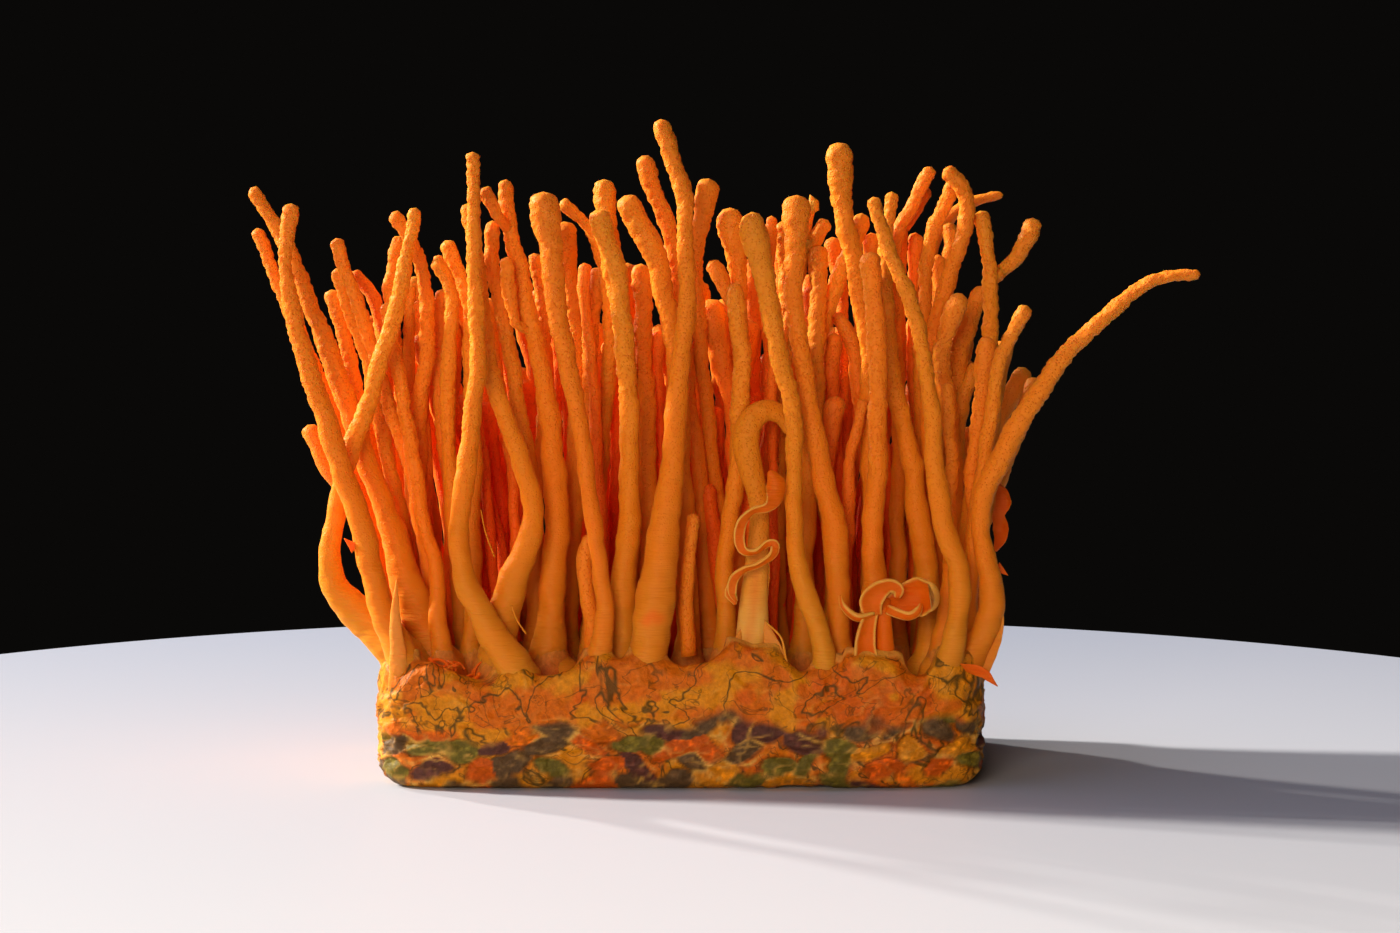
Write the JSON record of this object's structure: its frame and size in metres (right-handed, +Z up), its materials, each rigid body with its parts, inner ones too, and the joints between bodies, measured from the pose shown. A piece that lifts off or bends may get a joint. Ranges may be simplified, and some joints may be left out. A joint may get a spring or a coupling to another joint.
{
  "type": "cordyceps bunch",
  "caption": "Bunch of slender orange cordyceps clubs growing from a rectangular cake of cooked grain, standing on its flat base.",
  "frame": {"origin": "centre of the cake's flat underside, on the surface that it stands on", "axes": "+Z up along the clubs, +X along the cake's long side to the viewer's right, -Y towards the viewer"},
  "size_m": [0.1597, 0.0597, 0.1125],
  "materials": {
    "club_flesh": "moist translucent orange fungus flesh, granular above and smoother below, ochre at the foot",
    "pale_flesh": "moist translucent cream to orange fungus flesh, smooth",
    "grain_and_mycelium": "cooked grains knitted together by yellow-orange mycelium, damp and lumpy"
  },
  "bodies": {
    "root": {"club_01": "club_flesh", "club_02": "club_flesh", "club_03": "club_flesh", "club_04": "club_flesh", "club_05": "club_flesh", "club_06": "club_flesh", "club_07": "club_flesh", "club_08": "club_flesh", "club_09": "club_flesh", "club_10": "club_flesh", "club_11": "club_flesh", "club_12": "club_flesh", "club_13": "club_flesh", "club_14": "club_flesh", "club_15": "club_flesh", "club_16": "club_flesh", "club_16_branch": "club_flesh", "club_16_spur": "club_flesh", "club_17": "club_flesh", "club_18": "club_flesh", "club_19": "club_flesh", "club_20": "club_flesh", "club_21": "club_flesh", "club_22": "club_flesh", "club_23": "club_flesh", "club_24": "club_flesh", "club_25": "club_flesh", "club_26": "club_flesh", "club_27": "club_flesh", "club_28": "club_flesh", "club_29": "club_flesh", "club_30": "club_flesh", "club_31": "club_flesh", "club_32": "club_flesh", "club_33": "club_flesh", "club_34": "club_flesh", "club_35": "club_flesh", "club_36": "club_flesh", "club_37": "club_flesh", "club_38": "club_flesh", "club_39": "club_flesh", "club_40": "club_flesh", "club_41": "club_flesh", "club_42": "club_flesh", "club_43": "club_flesh", "club_44": "club_flesh", "club_45": "club_flesh", "club_45_branch": "club_flesh", "club_46": "club_flesh", "club_47": "club_flesh", "club_48": "club_flesh", "club_49": "club_flesh", "curly_tendril": "pale_flesh", "grain_cake": "grain_and_mycelium", "hooked_club": "pale_flesh", "rolled_cap": "pale_flesh", "thicket_left": "club_flesh", "thicket_middle": "club_flesh", "thicket_right": "club_flesh"}
  },
  "joints": []
}
